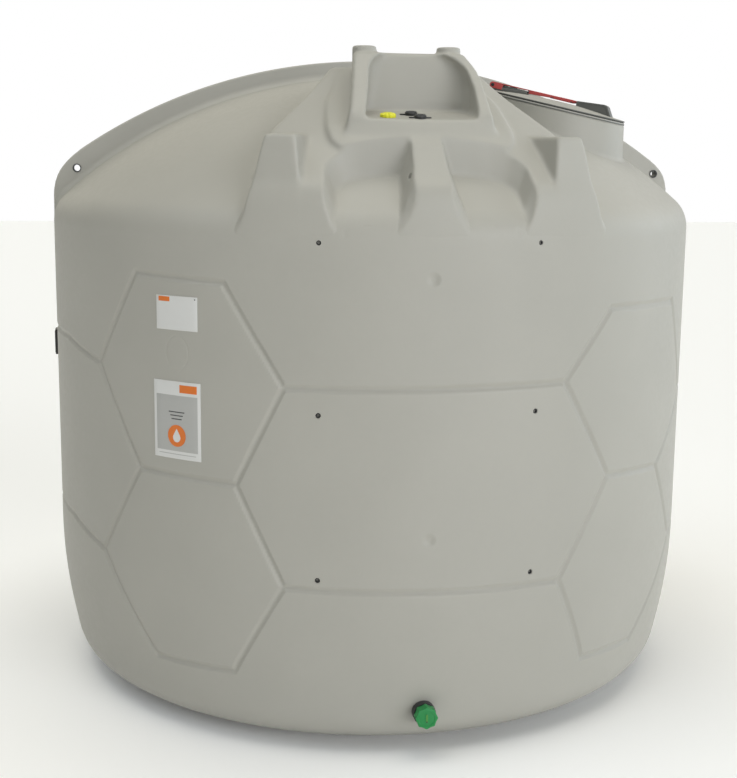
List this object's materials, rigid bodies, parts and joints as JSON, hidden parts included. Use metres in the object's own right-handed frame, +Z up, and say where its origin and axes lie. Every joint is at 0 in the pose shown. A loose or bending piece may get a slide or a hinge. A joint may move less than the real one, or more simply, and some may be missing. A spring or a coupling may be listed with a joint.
{
  "type": "water tank",
  "caption": "Domed vertical polyethylene water tank with a hooded fittings bay, a hinged manway lid, a lifting fin and a capped bottom drain.",
  "frame": {"origin": "centre of the base circle, on the floor", "axes": "+Z up; the hood and the drain look along -Y; the fin runs along X"},
  "size_m": [2.4108, 2.4187, 2.2971],
  "materials": {
    "shell": "satin, fine orange-peel",
    "black": "satin",
    "green": "gloss",
    "yellow": "gloss",
    "red": "gloss",
    "grey": "satin",
    "rubber": "matte",
    "steel": "plain",
    "label": "film"
  },
  "bodies": {
    "tank": {"base_pan": "shell", "bonnet_left": "shell", "bonnet_right": "shell", "buttress_left": "shell", "buttress_right": "shell", "coupling_front": "black", "coupling_rear": "black", "dome_back_left": "shell", "dome_back_right": "shell", "dome_front_left": "shell", "dome_front_right": "shell", "drain_adaptor": "black", "fill_cap": "yellow", "fin_left": "shell", "fin_right": "shell", "hinge_pin": "steel", "hood_back": "shell", "hood_boss_left": "shell", "hood_boss_right": "shell", "hood_wing_left": "shell", "hood_wing_right": "shell", "label_lower": "label", "label_upper": "label", "manway_neck": "shell", "manway_rim": "grey", "manway_seal": "rubber", "rib": "shell", "rim_knuckle": "grey", "shelf": "shell", "side_cover": "black", "skirt_left": "shell", "skirt_right": "shell", "wall_back": "shell", "wall_back_left": "shell", "wall_back_right": "shell", "wall_front": "shell", "wall_front_left": "shell", "wall_front_right": "shell"},
    "lid": {"lid": "shell", "lid_knuckle_left": "grey", "lid_knuckle_right": "grey", "catch_housing": "grey", "bar_bracket": "grey"},
    "lock_bar": {"lock_bar": "red"},
    "drain_cap": {"drain_cap": "green"}
  },
  "joints": [
    {"name": "lid_hinge", "type": "hinge", "parent": "tank", "child": "lid", "pos_m": [0.3765, -0.2748, 2.18595], "axis": [-0.4226, -0.9063, 0], "range_deg": [0, 110]},
    {"name": "lock_bar_hinge", "type": "hinge", "parent": "lid", "child": "lock_bar", "pos_m": [0.40875, -0.28984, 2.19857], "axis": [-0.4226, -0.9063, 0], "range_deg": [0, 70]},
    {"name": "drain_cap_turn", "type": "hinge", "parent": "tank", "child": "drain_cap", "pos_m": [0, -1.2, 0.1615], "axis": [0, -1, 0], "range_deg": [0, 360]}
  ]
}
